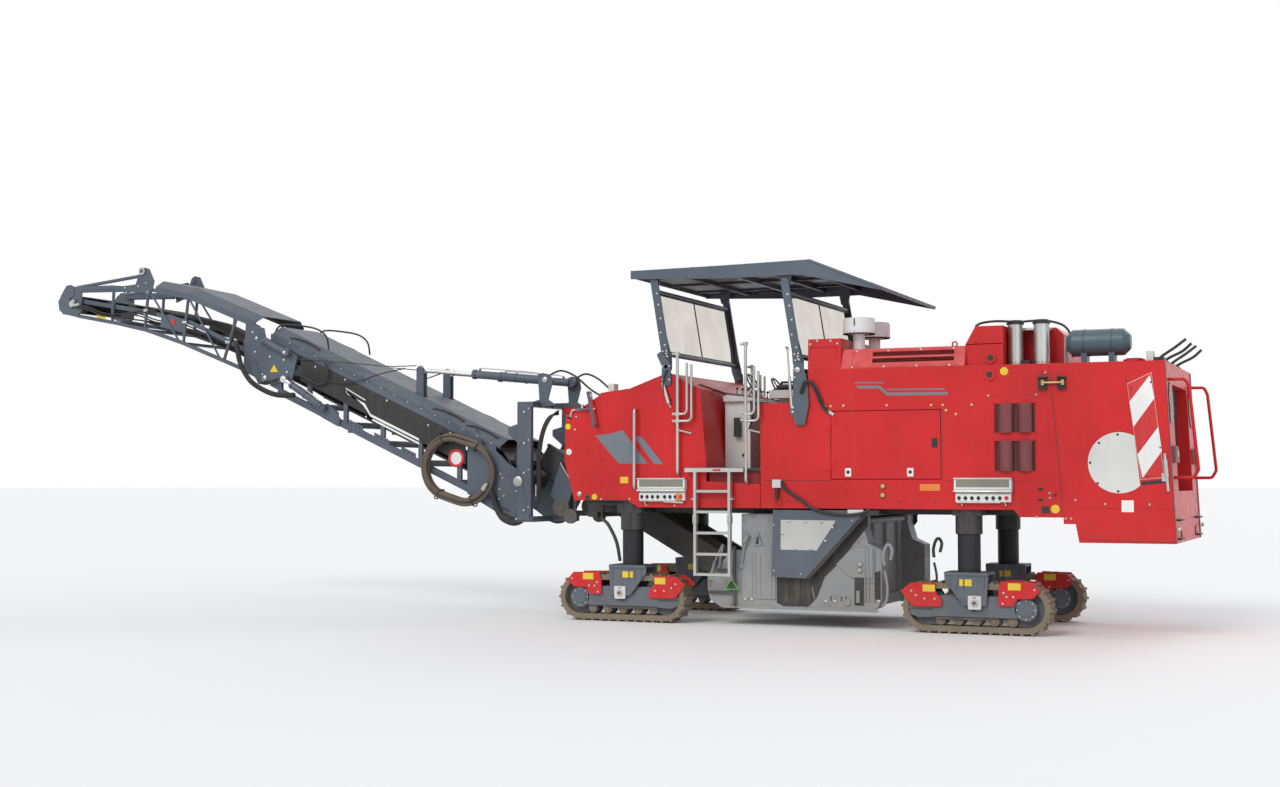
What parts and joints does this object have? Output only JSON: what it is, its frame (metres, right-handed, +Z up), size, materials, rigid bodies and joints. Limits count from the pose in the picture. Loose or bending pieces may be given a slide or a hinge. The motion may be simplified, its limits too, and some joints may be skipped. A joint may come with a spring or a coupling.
{
  "type": "cold planer milling machine",
  "caption": "Tracked road milling machine with steered crawler units, milling drum, folding canopy and a slewing, lifting and folding discharge conveyor",
  "frame": {"origin": "middle of the machine's overall box, on the ground", "axes": "-X points forward, toward the discharge end of the conveyor; +Y is the machine's right side; +Z is up"},
  "size_m": [15.2788, 2.496, 4.5174],
  "materials": {
    "red_paint": "signal red paint, satin gloss, light dust",
    "grey_paint": "slate grey paint, satin, scuffed",
    "black_frame": "black paint, dusty",
    "worn_grey": "light grey paint, scraped and worn",
    "galvanised": "dull zinc and aluminium tread",
    "pipe_steel": "bare steel pipe and cylinder rods",
    "off_white": "off-white plastic and painted sheet",
    "belt_rubber": "black rubber belt and sheets",
    "hose_rubber": "brown dusty rubber hose",
    "track_steel": "dusty rusty track shoes",
    "drum_steel": "worn dark steel drum with picks",
    "smoked_glass": "lightly tinted screen",
    "blue_grey": "blue-grey paint",
    "engine_iron": "dark engine block"
  },
  "bodies": {
    "chassis": {"frame": "black_frame", "front_body": "red_paint", "front_cheeks": "red_paint", "engine_body": "red_paint", "engine_hood": "red_paint", "engine_block": "engine_iron", "exhaust_stacks": "pipe_steel", "air_tank": "blue_grey", "air_cleaners": "off_white", "grilles": "black_frame", "rear_rails": "red_paint", "side_plates": "off_white", "platform": "black_frame", "operator_station": "off_white", "handrails": "pipe_steel", "ladders": "galvanised", "control_boxes": "off_white", "drum_housing": "worn_grey", "primary_conveyor": "black_frame", "primary_belt": "belt_rubber", "mirrors": "grey_paint", "lamps": "off_white", "canopy_mounts": "grey_paint"},
    "carrier_fl": {"undercarriage_fl": "grey_paint", "guards_fl": "red_paint", "track_fl": "track_steel"},
    "carrier_fr": {"undercarriage_fr": "grey_paint", "guards_fr": "red_paint", "track_fr": "track_steel"},
    "carrier_rl": {"undercarriage_rl": "grey_paint", "guards_rl": "red_paint", "track_rl": "track_steel"},
    "carrier_rr": {"undercarriage_rr": "grey_paint", "guards_rr": "red_paint", "track_rr": "track_steel"},
    "milling_drum": {"drum": "drum_steel"},
    "gate": {"scraper_gate": "worn_grey"},
    "left_door": {"door_left": "red_paint"},
    "right_door": {"door_right": "red_paint"},
    "mast_body": {"mast": "grey_paint"},
    "lift_barrel": {"lift_barrels": "grey_paint"},
    "lift_rod": {"lift_rods": "pipe_steel"},
    "boom": {"boom_frame": "grey_paint", "fold_brackets": "grey_paint", "boom_crossbars": "grey_paint", "boom_cover": "grey_paint", "boom_belt": "belt_rubber", "boom_sheets": "belt_rubber", "hose_coil": "hose_rubber"},
    "tip": {"tip_frame": "grey_paint", "tip_crossbars": "grey_paint", "tip_cover": "grey_paint", "tip_belt": "belt_rubber"},
    "fold_barrel": {"fold_barrels": "grey_paint"},
    "fold_rod": {"fold_rods": "pipe_steel"},
    "roof_body": {"roof": "grey_paint"},
    "front_arm_body": {"front_arms": "grey_paint", "front_screen": "smoked_glass"},
    "rear_arm_body": {"rear_arms": "grey_paint", "rear_screen": "smoked_glass"}
  },
  "joints": [
    {"name": "steer_fl", "type": "hinge", "parent": "chassis", "child": "carrier_fl", "pos_m": [1.4, -0.98, 0.65], "axis": [0, 0, 1], "range_deg": [-20, 20]},
    {"name": "steer_fr", "type": "hinge", "parent": "chassis", "child": "carrier_fr", "pos_m": [1.4, 0.98, 0.65], "axis": [0, 0, 1], "range_deg": [-20, 20]},
    {"name": "steer_rl", "type": "hinge", "parent": "chassis", "child": "carrier_rl", "pos_m": [5.3, -0.98, 0.65], "axis": [0, 0, 1], "range_deg": [-20, 20]},
    {"name": "steer_rr", "type": "hinge", "parent": "chassis", "child": "carrier_rr", "pos_m": [5.3, 0.98, 0.65], "axis": [0, 0, 1], "range_deg": [-20, 20]},
    {"name": "drum_spin", "type": "hinge", "parent": "chassis", "child": "milling_drum", "pos_m": [3.39, 0, 0.72], "axis": [0, 1, 0], "continuous": true},
    {"name": "gate_swing", "type": "hinge", "parent": "chassis", "child": "gate", "pos_m": [4.1, 0, 1.17], "axis": [0, -1, 0], "range_deg": [0, 20]},
    {"name": "door_left_hinge", "type": "hinge", "parent": "chassis", "child": "left_door", "pos_m": [3.8335, -1.158, 1.9], "axis": [0, 0, -1], "range_deg": [0, 110]},
    {"name": "door_right_hinge", "type": "hinge", "parent": "chassis", "child": "right_door", "pos_m": [3.8335, 1.158, 1.9], "axis": [0, 0, 1], "range_deg": [0, 110]},
    {"name": "conveyor_slew", "type": "hinge", "parent": "chassis", "child": "mast_body", "pos_m": [0.11, 0, 1.2], "axis": [0, 0, 1], "range_deg": [-50, 50]},
    {"name": "conveyor_lift", "type": "hinge", "parent": "mast_body", "child": "boom", "pos_m": [-0.29, 0, 1.6], "axis": [0, 1, 0], "range_deg": [-12, 10]},
    {"name": "lift_cylinder", "type": "hinge", "parent": "mast_body", "child": "lift_barrel", "pos_m": [-0.04, 0, 2.84], "axis": [0, 1, 0], "range_deg": [-12, 10]},
    {"name": "lift_rod_slide", "type": "slide", "parent": "lift_barrel", "child": "lift_rod", "axis": [-0.9956, 0, 0.094], "range_m": [-0.22, 0.265]},
    {"name": "conveyor_fold", "type": "hinge", "parent": "boom", "child": "tip", "pos_m": [-4.09, 0, 2.95044], "axis": [0, -1, 0], "range_deg": [0, 80]},
    {"name": "fold_cylinder", "type": "hinge", "parent": "boom", "child": "fold_barrel", "pos_m": [-3.145, 0, 2.54844], "axis": [0, 1, 0], "range_deg": [0, 13]},
    {"name": "fold_rod_slide", "type": "slide", "parent": "fold_barrel", "child": "fold_rod", "axis": [-0.8451, 0, 0.5347], "range_m": [0, 0.44]},
    {"name": "canopy_fold", "type": "hinge", "parent": "chassis", "child": "rear_arm_body", "pos_m": [3.469, 0, 2.822], "axis": [0, -1, 0], "range_deg": [0, 48]},
    {"name": "canopy_front", "type": "hinge", "parent": "chassis", "child": "front_arm_body", "pos_m": [1.895, 0, 2.9], "axis": [0, -1, 0], "range_deg": [0, 48]},
    {"name": "roof_level", "type": "hinge", "parent": "rear_arm_body", "child": "roof_body", "pos_m": [3.30567, 0, 3.80857], "axis": [0, -1, 0], "range_deg": [-48, 0]}
  ],
  "couplings": [
    {"joint": "steer_fr", "follows": "steer_fl", "ratio": 1},
    {"joint": "steer_rr", "follows": "steer_rl", "ratio": 1},
    {"joint": "lift_cylinder", "follows": "conveyor_lift", "ratio": 0.917},
    {"joint": "lift_rod_slide", "follows": "conveyor_lift", "m_per_rad": -1.2514},
    {"joint": "fold_cylinder", "follows": "conveyor_fold", "ratio": 0.1454},
    {"joint": "fold_rod_slide", "follows": "conveyor_fold", "m_per_rad": 0.2883},
    {"joint": "canopy_front", "follows": "canopy_fold", "ratio": 1},
    {"joint": "roof_level", "follows": "canopy_fold", "ratio": -1}
  ]
}
